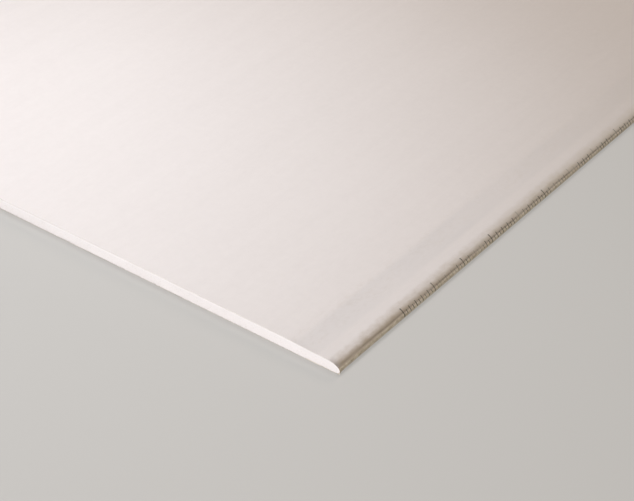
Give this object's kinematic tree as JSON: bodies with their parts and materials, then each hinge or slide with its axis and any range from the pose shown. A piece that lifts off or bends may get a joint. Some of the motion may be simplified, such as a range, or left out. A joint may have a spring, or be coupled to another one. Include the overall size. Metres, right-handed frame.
{
  "type": "drywall sheet",
  "caption": "Flat rectangular gypsum board with square sawn ends and tapered, rounded long edges, wrapped in paper, for lining walls and ceilings.",
  "frame": {"origin": "middle of the sheet's back, on the level surface that the sheet lies on", "axes": "+X across the width, +Y along the length and the two tapered edges, +Z through the thickness and out of the face"},
  "size_m": [1.25, 2, 0.0125],
  "materials": {
    "gypsum": "matte white cast gypsum, sawn at the ends",
    "ivory_paper": "matte ivory liner paper",
    "grey_paper": "matte grey-brown recycled liner paper"
  },
  "bodies": {
    "root": {"gypsum_core": "gypsum", "face_liner": "ivory_paper", "back_liner": "grey_paper"}
  },
  "joints": []
}
